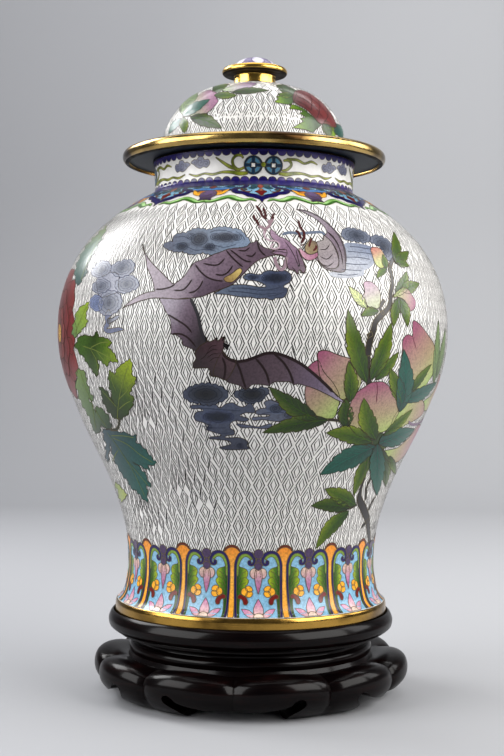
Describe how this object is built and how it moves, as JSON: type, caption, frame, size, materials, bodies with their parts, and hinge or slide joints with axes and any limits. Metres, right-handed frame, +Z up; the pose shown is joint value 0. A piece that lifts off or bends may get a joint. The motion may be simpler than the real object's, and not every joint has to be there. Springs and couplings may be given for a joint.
{
  "type": "covered ginger jar on a stand",
  "caption": "Baluster ginger jar in wired enamel on copper, with a domed lift-off lid, gilt rings and knob, on a carved lobed hardwood stand.",
  "frame": {"origin": "centre of the underside of the stand", "axes": "+Z up along the axis of the jar, towards the knob; the side with the two bats faces -Y; +X is to the viewer's right there"},
  "size_m": [0.216, 0.216, 0.3521],
  "materials": {
    "jar_body": "polished enamel on copper, white ground with wired lozenges and coloured fruit, bats and clouds",
    "foot_ring": "gilt, satin",
    "mouth_ring": "gilt, satin",
    "lid_shell": "polished enamel on copper, dark counter enamel inside",
    "lid_rim": "gilt, satin, darker patina in patches",
    "lid_collar": "gilt, satin",
    "knob": "gilt, polished",
    "knob_button": "polished enamel",
    "stand": "carved hardwood, near black with a red tint, gloss lacquer"
  },
  "bodies": {
    "root": {"jar_body": "jar_body", "foot_ring": "foot_ring", "mouth_ring": "mouth_ring", "lid_shell": "lid_shell", "lid_rim": "lid_rim", "lid_collar": "lid_collar", "knob": "knob", "knob_button": "knob_button", "stand": "stand"}
  },
  "joints": []
}
